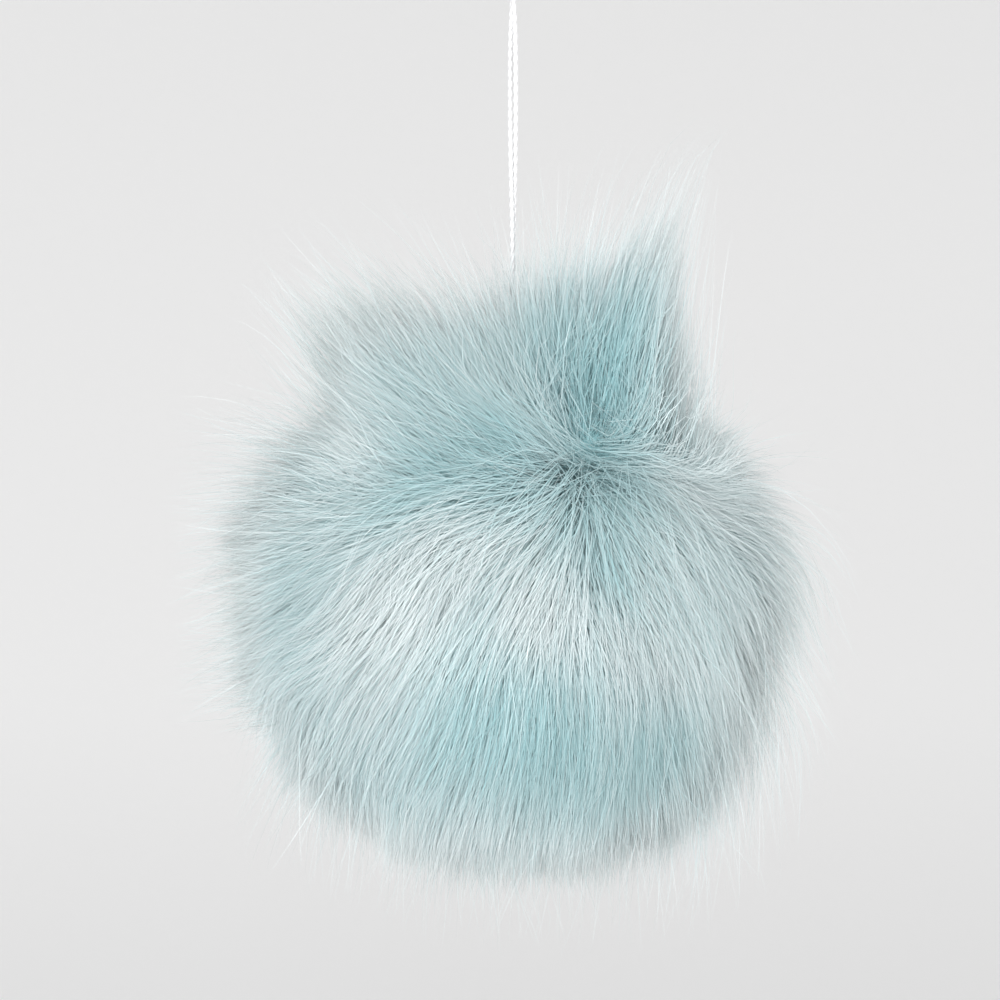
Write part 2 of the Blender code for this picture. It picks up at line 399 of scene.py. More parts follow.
# How values are shared among a lock, its strands and their hairs, and how much they spread
EVEN_SHARES = (0.35, 0.35, 0.30)
HEIGHT_SHARES = (0.2, 0.15, 0.65)
END_LIFT_SHARES = (0.2, 0.2, 0.6)
TONE_SHARES = (0.35, 0.25, 0.40)
SHARE_SPREAD = 1.6
LIFT_SPREAD = (0.75, 1.25)

# Turns of strands and hairs where the hair is matted, at its roots and along it
MATTED_TURNS = (0.0, 0.6, 0.8)
MATTED_BENDS = (0.0, 0.5, 0.85)
CURL_SHARE = 0.6

# How far hairs draw together towards their tips, and how late along the hair
STRAND_PULL = 0.12
STRAND_GATHER = 3.0
LOCK_PULL = 0.22
LOCK_GATHER = 2.0

# The hair's map has this many columns of tone. Strands take up a spot's tone and its
# painted sheen and shade unevenly, and light goes through the hair by a share.
TONE_COLUMNS = 64
TONE_PATCHY = (0.35, 1.65)
THROUGH_SHARE = 0.35

# How far the hair may stand past the CAD box at each side, with a little to spare
PAST_BOX_SHARE = 0.03
PAST_BOX = 0.010
PAST_BOX_SPARE = 0.0015

# The cord's strands are twisted from so many plies. Its ring has so many corners, one
# ring at each step along it, and a groove and a crest lie at these shares of its radius.
PLIES = 3
CORD_CORNERS = 14
CORD_STEP = 0.00012
CORD_GROOVE = 0.74
CORD_CREST = 0.34

# The cord's route, in millimetres from the top of the loop: (right, away, up)
CORD_ROUTE = (
    (0.06, -0.60, -93.35),
    (0.06, -0.60, -88.0),
    (-0.06, -0.60, -81.0),
    (-0.12, -0.59, -70.0),
    (-0.24, -0.55, -60.0),
    (-0.46, -0.38, -51.0),
    (-0.57, -0.17, -43.0),
    (-0.60, 0.00, -34.0),
    (-0.56, 0.21, -26.0),
    (-0.42, 0.43, -19.5),
    (-0.15, 0.80, -15.0),
    (0.00, 1.75, -11.5),
    (0.00, 3.30, -7.6),
    (0.00, 3.55, -4.0),
    (0.00, 2.40, -0.7),
    (0.00, 0.00, 0.5),
    (0.00, -2.40, -0.7),
    (0.00, -3.55, -4.0),
    (0.00, -3.30, -7.6),
    (0.00, -1.75, -11.5),
    (0.15, -0.80, -15.0),
    (0.42, -0.43, -19.5),
    (0.56, -0.21, -26.0),
    (0.60, 0.00, -34.0),
    (0.57, 0.17, -43.0),
    (0.46, 0.38, -51.0),
    (0.24, 0.55, -60.0),
    (0.12, 0.59, -70.0),
    (0.06, 0.60, -81.0),
    (-0.06, 0.60, -88.0),
    (-0.06, 0.60, -93.35),
)

# The backing's rings from top to bottom and its corners round
BACKING_ROWS = 48
BACKING_COLUMNS = 96

# The camera, the lights and the room, in metres. A light's power is a share of the key's.
CAMERA_PLACE = (-0.0028, -0.605, -0.123)
CAMERA_LENS = 100.0
CAMERA_SENSOR = 36.0
KEY_PLACE = (-0.18, -1.18, 0.06)
KEY_SIZE = 0.5
SIDE_PLACE = (1.0, 0.1, 0.25)
SIDE_SHARE = 0.30
LOW_PLACE = (0.0, -0.8, -0.85)
LOW_SHARE = 0.05
FILL_SIZE = 0.6
FLOOR_UP = -1.1
FLOOR_MIDDLE = 0.4
WALL_RADIUS = 2.4
WALL_BEND = 0.8
WALL_TOP = 1.6
BEND_STEPS = 13
ROOM_CORNERS = 64


class FurSizes(PropertyGroup):
    """The pile's sizes and colours."""

    seed: IntProperty(
        name="Seed", description="Picks where the single hairs grow", default=11
    )
    density: FloatProperty(
        name="Density",
        description="Share of the full number of hairs",
        default=1.0,
        min=0.02,
        max=1.0,
        subtype="FACTOR",
    )
    backing_radius: FloatProperty(
        name="Backing radius",
        description="Radius of the stuffed ball that the hair grows from",
        default=0.044,
        unit="LENGTH",
        subtype="DISTANCE",
    )
    lift: FloatProperty(
        name="Lift",
        description="How steeply the hair leaves the backing",
        default=0.60,
        min=0.0,
    )
    root_colour: FloatVectorProperty(
        name="Root colour",
        description="Colour of the hair near the backing",
        default=(0.42, 0.735, 0.775),
        subtype="COLOR",
        min=0.0,
        max=1.0,
    )
    body_colour: FloatVectorProperty(
        name="Body colour",
        description="Colour of the hair along most of its length",
        default=(0.49, 0.70, 0.72),
        subtype="COLOR",
        min=0.0,
        max=1.0,
    )
    tip_colour: FloatVectorProperty(
        name="Tip colour",
        description="Colour of the hair's pale tip",
        default=(0.82, 0.91, 0.92),
        subtype="COLOR",
        min=0.0,
        max=1.0,
    )
    # Painted backlight: the grey that the thin hair at the outline shows against the bright
    # room, with light through it
    backlit_rim_colour: FloatVectorProperty(
        name="Rim colour",
        description="Colour of the greyer hair round the ball's outline",
        default=(0.53, 0.58, 0.57),
        subtype="COLOR",
        min=0.0,
        max=1.0,
    )


class CordSizes(PropertyGroup):
    """The hanging cord's sizes and colour."""

    diameter: FloatProperty(
        name="Diameter",
        description="Thickness of the twisted cord",
        default=0.0010,
        unit="LENGTH",
        subtype="DISTANCE",
    )
    pitch: FloatProperty(
        name="Twist",
        description="Length of cord over which a ply goes once round",
        default=0.0066,
        unit="LENGTH",
        subtype="DISTANCE",
    )
    colour: FloatVectorProperty(
        name="Colour",
        description="Colour of the cord's yarn",
        default=(0.80, 0.80, 0.81),
        subtype="COLOR",
        min=0.0,
        max=1.0,
    )


class StageSizes(PropertyGroup):
    """The room and the lights."""

    room_colour: FloatVectorProperty(
        name="Room colour",
        description="Colour of the floor and the wall",
        default=(0.75, 0.75, 0.75),
        subtype="COLOR",
        min=0.0,
        max=1.0,
    )
    fill: FloatProperty(
        name="Fill light",
        description="Strength of the even light from all round",
        default=0.30,
        min=0.0,
    )
    glow: FloatProperty(
        name="Wall glow",
        description="Strength of the light that comes through the wall and the floor",
        default=0.275,
        min=0.0,
    )
    key: FloatProperty(
        name="Key light",
        description="Power of the soft light in front, in watts",
        default=14.5,
        min=0.0,
        unit="POWER",
    )


def unit(vectors):
    """Each vector divided by its length."""
    return vectors / np.maximum(np.linalg.norm(vectors, axis=-1, keepdims=True), 1e-9)


def along(vectors, others):
    """The length of each vector's share along the other, as a column."""
    return (vectors * others).sum(axis=-1, keepdims=True)


def outline_reach(turn):
    """The outline's reach in millimetres, at these degrees from +X towards +Z."""
    degrees, reach = np.array(PILE_OUTLINE).T
    return np.interp(turn % 360, degrees, reach, period=360)


def pile_reach(outward):
    """Millimetres from the centre to the tips of the dense pile, in each direction.

    It is the outline's reach near the photo's plane, and falls back to the ball's own
    radius towards the front and the back.
    """
    rim = outline_reach(np.degrees(np.arctan2(outward[:, 2], outward[:, 0])))
    depth = (outward[:, 1] - OUTLINE_DEPTH) / OUTLINE_DEPTH_SPREAD
    return PILE_RADIUS_MM + (rim - PILE_RADIUS_MM) * np.exp(-(depth**2))


def backing_radius(outward, radius):
    """The ball's own radius and a share of how far the pile reaches past its own."""
    return radius + BACKING_FOLLOWS_PILE * (pile_reach(outward) - PILE_RADIUS_MM)


def combing_guides():
    """Places on the unit sphere and the directions of the hair there, from COMBING."""
    right, up, side, turn, away = np.array(COMBING).T
    depth = np.sqrt(np.maximum(PILE_RADIUS_MM**2 - right**2 - up**2, 0.0))
    places = unit(np.stack([right, side * depth, up], axis=1))
    turn, away = np.radians(turn), np.radians(away)
    across = np.cos(turn) * np.cos(away)
    upward = np.sin(turn) * np.cos(away)
    return places, np.stack([across, np.sin(away), upward], axis=1)


def hair_directions(points, guides, stray, lift):
    """The way the hair runs at points given in millimetres from the ball's centre.

    Each point takes the mean of the combing guides, nearer ones counting for more, and
    adds the hair's own stray direction, which leads only where the guides disagree. That
    is laid along the ball, lifted, drawn towards a near tuft's tip and pushed off the
    cord.
    """
    places, lays = guides
    outward = unit(points)
    nearness = np.exp((outward @ places.T - 1.0) / COMB_SPREAD**2)
    lay = nearness @ lays / nearness.sum(axis=1, keepdims=True) + stray
    rise = along(lay, outward)
    flat = lay - rise * outward
    least = LEAST_LAY * (1.0 - STANDING_SHARE * np.clip(rise, 0.0, 1.0))
    firm = np.maximum(np.linalg.norm(flat, axis=1, keepdims=True), least)
    way = unit(flat) * firm
    way = unit(way + (RISE_SHARE * np.maximum(rise, 0.0) + lift) * outward)
    for *tip, spread, pull in TUFTS:
        tip = np.array(tip)
        angle = np.degrees(np.arccos(np.clip(outward @ unit(tip), -1.0, 1.0)))
        share = pull * np.exp(-((angle / spread) ** 2))[:, None]
        way = unit((1.0 - share) * way + share * unit(TUFT_REACH * tip - points))
    beside = (points - np.array([*CORD_FOOT_MM, 0.0])) * (1.0, 1.0, 0.0)
    distance = np.linalg.norm(beside, axis=1, keepdims=True)
    near_cord = np.exp(-((distance / PARTING_MM) ** 2)) * (points[:, 2:] > 0.0)
    return unit(way + PARTING_PUSH * near_cord * beside / (distance + 0.5))


def turned(way, outward, degrees):
    """The ways turned about the outward direction: the way times the turn's cosine, and
    the cross product of outward and way times its sine."""
    turn = np.radians(degrees)[:, None]
    return way * np.cos(turn) + np.cross(outward, way) * np.sin(turn)


def between(rng, limits, shape):
    """Even random values between the limits."""
    return rng.uniform(limits[0], limits[1], shape)


def spiral_directions(count, rng, scatter):
    """Directions spread evenly over the sphere on a golden spiral, then scattered."""
    number = np.arange(count)
    up = 1.0 - (2.0 * number + 1.0) / count
    turn = number * math.pi * (3.0 - math.sqrt(5.0))
    level = np.sqrt(1.0 - up**2)
    places = np.stack([level * np.cos(turn), level * np.sin(turn), up], axis=1)
    return unit(places + rng.normal(0.0, scatter, places.shape))


def thickened(locks, places, rng):
    """Moves a share of the locks to each of the places where hair grows closer."""
    pick = rng.uniform(0.0, 1.0, len(locks))
    for right, away, up, spread, share in places:
        mine = (pick > 0.0) & (pick < share)
        near = unit(np.array((right, away, up))) + rng.normal(0.0, spread, locks.shape)
        locks = np.where(mine[:, None], unit(near), locks)
        pick -= share
    return locks


def hair_roots(layer, rng):
    """Root directions, and each hair's strand and lock by number. Locks are spread over
    the ball, strands are scattered round their lock and hairs round their strand."""
    lock_gap = math.sqrt(4.0 * math.pi / layer["locks"])
    strand_gap = math.sqrt(4.0 * math.pi / (layer["locks"] * layer["strands"]))
    locks = spiral_directions(layer["locks"], rng, LOCK_SCATTER * lock_gap)
    locks = thickened(locks, layer["thicker"], rng)
    strands = np.repeat(locks, layer["strands"], axis=0)
    strands = unit(strands + rng.normal(0.0, STRAND_SCATTER * lock_gap, strands.shape))
    roots = np.repeat(strands, layer["hairs"], axis=0)
    roots = unit(roots + rng.normal(0.0, HAIR_SCATTER * strand_gap, roots.shape))
    strand = np.arange(len(roots)) // layer["hairs"]
    return roots, strand, strand // layer["strands"]


def shared_values(rng, limits, strand, lock, shares=EVEN_SHARES):
    """One value for each hair within the limits, alike in a lock and more in a strand:
    shares of the lock's, the strand's and its own even random value, spread and cut."""
    whole = (
        shares[0] * rng.uniform(0.0, 1.0, lock.max() + 1)[lock]
        + shares[1] * rng.uniform(0.0, 1.0, strand.max() + 1)[strand]
        + shares[2] * rng.uniform(0.0, 1.0, len(strand))
    )
    whole = np.clip(0.5 + SHARE_SPREAD * (whole - 0.5), 0.0, 1.0)
    return limits[0] + (limits[1] - limits[0]) * whole


def shared_turns(rng, degrees, strand, lock):
    """A random turn for each hair: the sum of its lock's, its strand's and its own."""
    return (
        rng.normal(0.0, degrees[0], lock.max() + 1)[lock]
        + rng.normal(0.0, degrees[1], strand.max() + 1)[strand]
        + rng.normal(0.0, degrees[2], len(strand))
    )


def front_place(right, up):
    """The place on the front of the pile at these millimetres from its centre."""
    depth = math.sqrt(max(PILE_RADIUS_MM**2 - right**2 - up**2, 0.0))
    return np.array((right, -depth, up))


def spots_sum(points, spots):
    """The sum of the spots' values at each point, each times e to the power of minus the
    square of the point's distance over the spot's spread."""
    total = np.zeros(len(points))
    for right, up, spread, value in spots:
        away = np.linalg.norm(points - front_place(right, up), axis=1) / spread
        total += value * np.exp(-(away**2))
    return total


def rim_share(points):
    """0 over the middle of the ball, rising to 1 at its outline in the photo."""
    # The outline share is the mask of the painted rim grey
    turn = np.degrees(np.arctan2(points[:, 2], points[:, 0]))
    share = np.hypot(points[:, 0], points[:, 2]) / outline_reach(turn)
    return np.clip((share - RIM_START) / (1.0 - RIM_START), 0.0, 1.0) ** RIM_STEEPNESS


def wave_set(rng):
    """Slow sine waves in random directions, as (run over a millimetre, start)."""
    ways = unit(rng.normal(0.0, 1.0, (WAVE_COUNT, 3)))
    lengths = between(rng, WAVE_LENGTHS_MM, WAVE_COUNT)
    start = rng.uniform(0.0, 2.0 * math.pi, WAVE_COUNT)
    return ways * (2.0 * math.pi / lengths)[:, None], start


def wavering(points, waves):
    """The sum of the slow waves at each point."""
    return np.sin(points @ waves[0].T + waves[1]).sum(axis=1)


def shared_vectors(rng, sizes, strand, lock):
    """A random vector for each hair: the sum of its lock's, its strand's and its own."""
    return (
        rng.normal(0.0, sizes[0], (lock.max() + 1, 3))[lock]
        + rng.normal(0.0, sizes[1], (strand.max() + 1, 3))[strand]
        + rng.normal(0.0, sizes[2], (len(strand), 3))
    )


def raggedness(points):
    """How unevenly the hair ends near the ragged places, as a share of reach: each place's
    share, fading with the square of the distance from it in the photo's plane."""
    uneven = np.zeros(len(points))
    for right, up, spread, share in RAGGED:
        away = np.hypot(points[:, 0] - right, points[:, 2] - up) / spread
        uneven += share * np.exp(-(away**2))
    return uneven


def grown_paths(layer, sizes, rng):
    """Points along each hair, the same number on each, from its root to its tip.

    Every hair runs along the combed directions in equal steps. It rises from the
    backing by the square root of the room left under its own height, and then lies along
    the pile. It ends at its own length, or where it comes out of the pile by its cut.
    """
    guides = combing_guides()
    roots, strand, lock = hair_roots(layer, rng)
    base = backing_radius(roots, sizes.backing_radius / MM)
    here = roots * base[:, None]
    height = shared_values(rng, layer["height"], strand, lock, HEIGHT_SHARES)
    cut = shared_values(rng, layer["cut"], strand, lock)
    length = shared_values(rng, layer["length"], strand, lock)
    rooted = roots * PILE_RADIUS_MM
    length = length * (1.0 + spots_sum(rooted, LONGER))
    turn = shared_turns(rng, layer["turns"], strand, lock)
    turn += shared_turns(rng, MATTED_TURNS, strand, lock) * spots_sum(rooted, MATTED)
    mess = shared_turns(rng, MATTED_BENDS, strand, lock)
    curl = shared_turns(rng, np.array(layer["turns"]) * CURL_SHARE, strand, lock)
    lift = sizes.lift * between(rng, LIFT_SPREAD, len(roots))
    lift *= 1.0 + spots_sum(rooted, STEEPER)
    end_lift = shared_values(rng, layer["end_lift"], strand, lock, END_LIFT_SHARES)
    stray = shared_vectors(rng, STRAYS, strand, lock)
    ragged = rng.normal(0.0, 1.0, len(roots))
    waves = wave_set(np.random.default_rng(sizes.seed))
    swells = wave_set(np.random.default_rng(sizes.seed + 1))
    low, high = (np.array(corner) for corner in hair_room())
    steps = int(math.ceil(length.max() / STEP_MM))
    path = [here]
    end = np.minimum(length / STEP_MM, steps)
    for step in range(steps):
        outward = unit(here)
        radius = np.linalg.norm(here, axis=1)
        reach = pile_reach(outward)
        top = height * reach
        room = np.clip((top - radius) / np.maximum(top - base, 1.0), 0.0, 1.0)
        floor = np.maximum(end_lift + WAVE_LIFT * wavering(here, swells), 0.0)
        rising = lift * (floor + (1.0 - floor) * np.sqrt(room))
        way = hair_directions(here, guides, stray, rising[:, None])
        share = step / steps
        bend = WAVE_DEGREES * wavering(here, waves) + mess * spots_sum(here, MATTED)
        turning = turn + curl * (2.0 * share - 0.6) + bend
        way = turned(way, outward, turning)
        here = here + STEP_MM * way
        path.append(here)
        outside = (here < low).any(axis=1) | (here > high).any(axis=1)
        most = (cut + ragged * raggedness(here)) * pile_reach(unit(here))
        over = np.linalg.norm(here, axis=1) > most
        cut_here = np.minimum(end, step + rng.uniform(0.3, 1.0, len(end)))
        end = np.where(outside | over, cut_here, end)
    path = np.stack(path, axis=1)
    points = resampled(path, end, layer["points"])
    points = gathered(points, strand, STRAND_PULL, STRAND_GATHER)
    return gathered(points, lock, LOCK_PULL, LOCK_GATHER), strand, lock


def hair_room():
    """Corners of the room that the hair may fill, in millimetres from the ball's centre."""
    low, high = (np.array(corner) for corner in cad_box)
    spare = PAST_BOX_SHARE * (high - low) + PAST_BOX - PAST_BOX_SPARE
    return (low - spare - BALL_CENTRE) / MM, (high + spare - BALL_CENTRE) / MM


def point_shares(count):
    """Where a hair's points lie along it: from 0 at the root to 1, closer at the tip."""
    return np.linspace(0.0, 1.0, count) ** POINT_SPACING


def resampled(path, end, count):
    """Each path cut at its own end, given in steps, with count points left along it, on
    the straight line between the two steps round each."""
    place = point_shares(count) * end[:, None]
    before = np.minimum(place.astype(int), path.shape[1] - 2)
    share = (place - before)[:, :, None]
    row = np.arange(len(path))[:, None]
    return path[row, before] * (1.0 - share) + path[row, before + 1] * share


def gathered(points, group, pull, power):
    """Each hair drawn towards the mean of its group, by the pull times its place along
    itself to the given power."""
    count = group.max() + 1
    members = np.bincount(group, minlength=count)[:, None, None]
    mean = np.zeros((count, *points.shape[1:]))
    np.add.at(mean, group, points)
    mean /= members
    share = pull * point_shares(points.shape[1]) ** power
    return points + share[None, :, None] * (mean[group] - points)


def ribbon_mesh(name, points, width, tone, most_roll, rng):
    """A mesh of flat hairs: two corners at each point and one at the tip.

    Each corner lies half a width to the side of the hair's line, along the cross product
    of its direction and a fixed direction of its own, so that every hair has its own
    roll. Its map's u is the hair's tone and its v runs from root to tip.
    """
    hairs, count = points.shape[:2]
    run = unit(np.gradient(points, axis=1))
    outward = unit(points.mean(axis=1))
    mean_run = unit(run.mean(axis=1))
    flat = unit(np.cross(mean_run, outward))
    roll = np.radians(rng.uniform(-most_roll, most_roll, hairs))[:, None]
    face = unit(np.cross(flat, mean_run)) * np.cos(roll) + flat * np.sin(roll)
    side = unit(np.cross(run, face[:, None, :]))
    share = point_shares(count)
    half = 0.5 * width[:, None] * (1.0 - share**3)[None, :]
    left = points - side * half[:, :, None]
    right = points + side * half[:, :, None]
    pairs = np.stack([left, right], axis=2)[:, :-1].reshape(hairs, -1, 3)
    corners = np.concatenate([pairs, points[:, -1:]], axis=1)
    each = 2 * (count - 1) + 1
    low = 2 * np.arange(count - 2)
    quads = np.stack([low, low + 1, low + 3, low + 2], axis=1)
    normals = np.cross(side[:, 0], run[:, 0])
    wrong = along(normals, outward)[:, 0] < 0.0
    first = (np.arange(hairs) * each)[:, None]
    quad = (quads.reshape(1, -1) + first).reshape(hairs, -1, 4)
    tip = np.array([each - 3, each - 2, each - 1])[None, :] + first
    quad[wrong] = quad[wrong][:, :, ::-1]
    tip[wrong] = tip[wrong][:, ::-1]
    loops = np.concatenate([quad.reshape(hairs, -1), tip], axis=1).ravel()
    sizes = np.tile(np.array([4] * (count - 2) + [3]), hairs)
    starts = np.concatenate([[0], np.cumsum(sizes)[:-1]])
    column = np.floor(np.clip(tone, 0.0, 0.999) * TONE_COLUMNS)
    u_pair = np.stack([column + 0.1, column + 0.9], axis=2) / TONE_COLUMNS
    u_pairs = u_pair[:, :-1].reshape(hairs, -1)
    u = np.concatenate([u_pairs, u_pair[:, -1].mean(axis=1, keepdims=True)], axis=1)
    v = np.concatenate([np.repeat(share[:-1], 2), share[-1:]])
    v = np.broadcast_to(0.01 + 0.98 * v, u.shape)
    corner_map = np.stack([u, v], axis=2).reshape(-1, 2)
    places = corners.reshape(-1, 3) * MM + BALL_CENTRE
    mesh = bpy.data.meshes.new(name)
    mesh.vertices.add(len(places))
    mesh.vertices.foreach_set("co", places.astype(np.float32).ravel())
    mesh.loops.add(len(loops))
    mesh.loops.foreach_set("vertex_index", loops.astype(np.int32))
    mesh.polygons.add(len(starts))
    mesh.polygons.foreach_set("loop_start", starts.astype(np.int32))
    mesh.polygons.foreach_set("use_smooth", np.ones(len(starts), bool))
    layer = mesh.uv_layers.new(name="OFBake")
    layer.data.foreach_set("uv", corner_map[loops].astype(np.float32).ravel())
    mesh.update(calc_edges=True)
    return mesh


def piece(name, mesh, material):
    """An object for a finished mesh, riding on the part and wearing its slot."""
    mesh.materials.append(material)
    made = bpy.data.objects.new(name, mesh)
    bpy.context.scene.collection.objects.link(made)
    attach(made, "root")
    return made


def node(tree, kind, place, **values):
    """A new node of a material, with its values set."""
    made = tree.nodes.new(kind)
    made.location = place
    for name, value in values.items():
        setattr(made, name, value)
    return made


def ramp(tree, place, stops):
    """A colour ramp with a colour at each stop."""
    made = node(tree, "ShaderNodeValToRGB", place)
    elements = made.color_ramp.elements
    while len(elements) < len(stops):
        elements.new(0.5)
    for element, (position, colour) in zip(elements, stops):
        element.position = position
        element.color = (*colour[:3], 1.0)
    return made


def blended(first, second, share):
    """The first colour plus a share of the way to the second."""
    return tuple(a + (b - a) * share for a, b in zip(first, second))


def fur_material(sizes):
    """Hair that goes from a deep root to a pale tip along its own map's v. The map's u
    picks its tone: deep at 0, pale at a half and grey at 1. Some light goes through."""
    found = bpy.data.materials.get("faux_fur")
    if found:
        return found
    made = bpy.data.materials.new("faux_fur")
    made.use_nodes = True
    tree = made.node_tree
    shader = tree.nodes["Principled BSDF"]
    root, body, tip = sizes.root_colour, sizes.body_colour, sizes.tip_colour
    where = node(tree, "ShaderNodeUVMap", (-900, 0), uv_map="OFBake")
    parts = node(tree, "ShaderNodeSeparateXYZ", (-720, 0))
    tree.links.new(where.outputs[0], parts.inputs[0])
    rich = blended(root, body, 0.35)
    white = blended(tip, (1.0, 1.0, 1.0), 0.25)
    soft = blended(body, tip, 0.6)
    # Painted rim grey: the grey and the rim ramp stand in for the greyer look of the thin
    # hair at the outline against the bright room. The pale ramp also carries the spots'
    # painted sheen.
    grey = tuple(sizes.backlit_rim_colour)
    dull = blended(body, grey, 0.5)
    deep = ramp(tree, (-520, 320), ((0.0, root), (0.6, rich), (1.0, body)))
    pale = ramp(tree, (-520, 60), ((0.0, rich), (0.25, soft), (0.6, tip), (1.0, white)))
    ends = blended(grey, white, 0.3)
    rim = ramp(tree, (-520, -200), ((0.0, rich), (0.3, dull), (0.7, grey), (1.0, ends)))
    first = node(tree, "ShaderNodeMapRange", (-520, -460))
    first.inputs["From Max"].default_value = 0.5
    second = node(tree, "ShaderNodeMapRange", (-340, -460))
    second.inputs["From Min"].default_value = 0.5
    tint = node(tree, "ShaderNodeMix", (-220, 120), data_type="RGBA")
    mix = node(tree, "ShaderNodeMix", (-60, 0), data_type="RGBA")
    for source in (deep, pale, rim):
        tree.links.new(parts.outputs["Y"], source.inputs["Fac"])
    for source in (first, second):
        tree.links.new(parts.outputs["X"], source.inputs["Value"])
    tree.links.new(first.outputs["Result"], tint.inputs["Factor"])
    tree.links.new(deep.outputs["Color"], tint.inputs["A"])
    tree.links.new(pale.outputs["Color"], tint.inputs["B"])
    tree.links.new(second.outputs["Result"], mix.inputs["Factor"])
    tree.links.new(tint.outputs["Result"], mix.inputs["A"])
    tree.links.new(rim.outputs["Color"], mix.inputs["B"])
    tree.links.new(mix.outputs["Result"], shader.inputs["Base Color"])
    gloss = node(tree, "ShaderNodeMapRange", (-220, -260))
    gloss.inputs["To Min"].default_value = 0.45
    gloss.inputs["To Max"].default_value = 0.32
    tree.links.new(parts.outputs["Y"], gloss.inputs["Value"])
    tree.links.new(gloss.outputs["Result"], shader.inputs["Roughness"])
    shader.inputs["Specular IOR Level"].default_value = 0.8
    shader.inputs["Sheen Weight"].default_value = 0.25
    shader.inputs["Sheen Roughness"].default_value = 0.5
    shader.inputs["Sheen Tint"].default_value = (*tip, 1.0)
    through = node(tree, "ShaderNodeBsdfTranslucent", (120, -260))
    tree.links.new(mix.outputs["Result"], through.inputs["Color"])
    both = node(tree, "ShaderNodeMixShader", (320, 0))
    both.inputs["Fac"].default_value = THROUGH_SHARE
    tree.links.new(shader.outputs["BSDF"], both.inputs[1])
    tree.links.new(through.outputs["BSDF"], both.inputs[2])
    tree.links.new(both.outputs["Shader"], tree.nodes["Material Output"].inputs["Surface"])
    return made


class POMPOM_OT_backing(Operator):
    """Make the stuffed ball of fur backing that the hair grows from"""

    bl_idname = "pompom.backing"
    bl_label = "Backing"

    def execute(self, context):
        sizes = context.scene.pom_pom_fur
        rows, columns = BACKING_ROWS, BACKING_COLUMNS
        fall = np.linspace(0.0, math.pi, rows + 1)
        turn = np.linspace(0.0, 2.0 * math.pi, columns, endpoint=False)
        fall, turn = np.meshgrid(fall[1:-1], turn, indexing="ij")
        level = np.sin(fall)
        ring = np.stack([level * np.cos(turn), level * np.sin(turn), np.cos(fall)], axis=2)
        directions = np.concatenate([ring.reshape(-1, 3), [[0, 0, 1], [0, 0, -1]]])
        radius = backing_radius(directions, sizes.backing_radius / MM)
        places = directions * radius[:, None] * MM + BALL_CENTRE
        number = np.arange((rows - 1) * columns).reshape(rows - 1, columns)
        after = np.roll(number, -1, axis=1)
        quads = np.stack([number[:-1], number[1:], after[1:], after[:-1]], axis=2)
        top, bottom = len(places) - 2, len(places) - 1
        caps = [
            np.stack([np.full(columns, top), number[0], after[0]], axis=1),
            np.stack([np.full(columns, bottom), after[-1], number[-1]], axis=1),
        ]
        mesh = bpy.data.meshes.new("fur_backing")
        faces = quads.reshape(-1, 4).tolist() + np.concatenate(caps).tolist()
        mesh.from_pydata(places.tolist(), [], faces)
        mesh.polygons.foreach_set("use_smooth", np.ones(len(mesh.polygons), bool))
        made = piece("fur_backing", mesh, backing_material(sizes))
        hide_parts("fur_ball")
        return {"FINISHED"}


def backing_material(sizes):
    """A knitted backing in the root's colour, with its short underhair as soft noise."""
    made = bpy.data.materials.new("fur_backing")
    made.use_nodes = True
    tree = made.node_tree
    shader = tree.nodes["Principled BSDF"]
    where = node(tree, "ShaderNodeTexCoord", (-900, 0))
    fuzz = node(tree, "ShaderNodeTexNoise", (-700, 0))
    fuzz.inputs["Scale"].default_value = 900.0
    fuzz.inputs["Detail"].default_value = 3.0
    # Painted shade: the hollows of the fuzz are painted darker than its raised parts
    shaded_hollow = blended(sizes.root_colour, (0.0, 0.0, 0.0), 0.1)
    raised = blended(sizes.root_colour, sizes.body_colour, 0.4)
    colours = ramp(tree, (-450, 0), ((0.3, shaded_hollow), (0.7, raised)))
    bump = node(tree, "ShaderNodeBump", (-450, -260))
    bump.inputs["Strength"].default_value = 0.6
    bump.inputs["Distance"].default_value = 0.0006
    tree.links.new(where.outputs["Object"], fuzz.inputs["Vector"])
    tree.links.new(fuzz.outputs["Fac"], colours.inputs["Fac"])
    tree.links.new(fuzz.outputs["Fac"], bump.inputs["Height"])
    tree.links.new(colours.outputs["Color"], shader.inputs["Base Color"])
    tree.links.new(bump.outputs["Normal"], shader.inputs["Normal"])
    shader.inputs["Roughness"].default_value = 0.85
    return made


def hair_tones(points, tone, strand, sizes, rng):
    """The tone at each point of each hair, from 0 to 1.

    It is half the hair's own tone, changed by the spots of tone, painted sheen and painted
    shade and by the slow waves as much as its strand takes them up, and half the painted
    rim grey, which stands in for the greyer look that the bright room behind and the light
    through the thin hair give the outline. It grows towards the outline and is less where
    the hair is pale.
    """
    everywhere = points.reshape(-1, 3)
    waves = wave_set(np.random.default_rng(sizes.seed + 2))
    change = spots_sum(everywhere, TONE_SHEEN_AND_SHADE_SPOTS) + WAVE_TONE * wavering(everywhere, waves)
    patchy = rng.uniform(*TONE_PATCHY, strand.max() + 1)[strand]
    change = change.reshape(points.shape[:2]) * patchy[:, None]
    # Painted rim grey towards the outline, less where the hair is paler
    backlit_greying = rim_share(everywhere).reshape(change.shape)
    backlit_greying = backlit_greying * (1.0 - np.clip(change, 0.0, 1.0))
    backlit_greying *= between(rng, BACKLIT_GREYING, (len(points), 1))
    paler = np.clip(tone[:, None] + change, 0.0, 1.0)
    return 0.5 * paler + 0.5 * np.clip(backlit_greying, 0.0, 1.0)


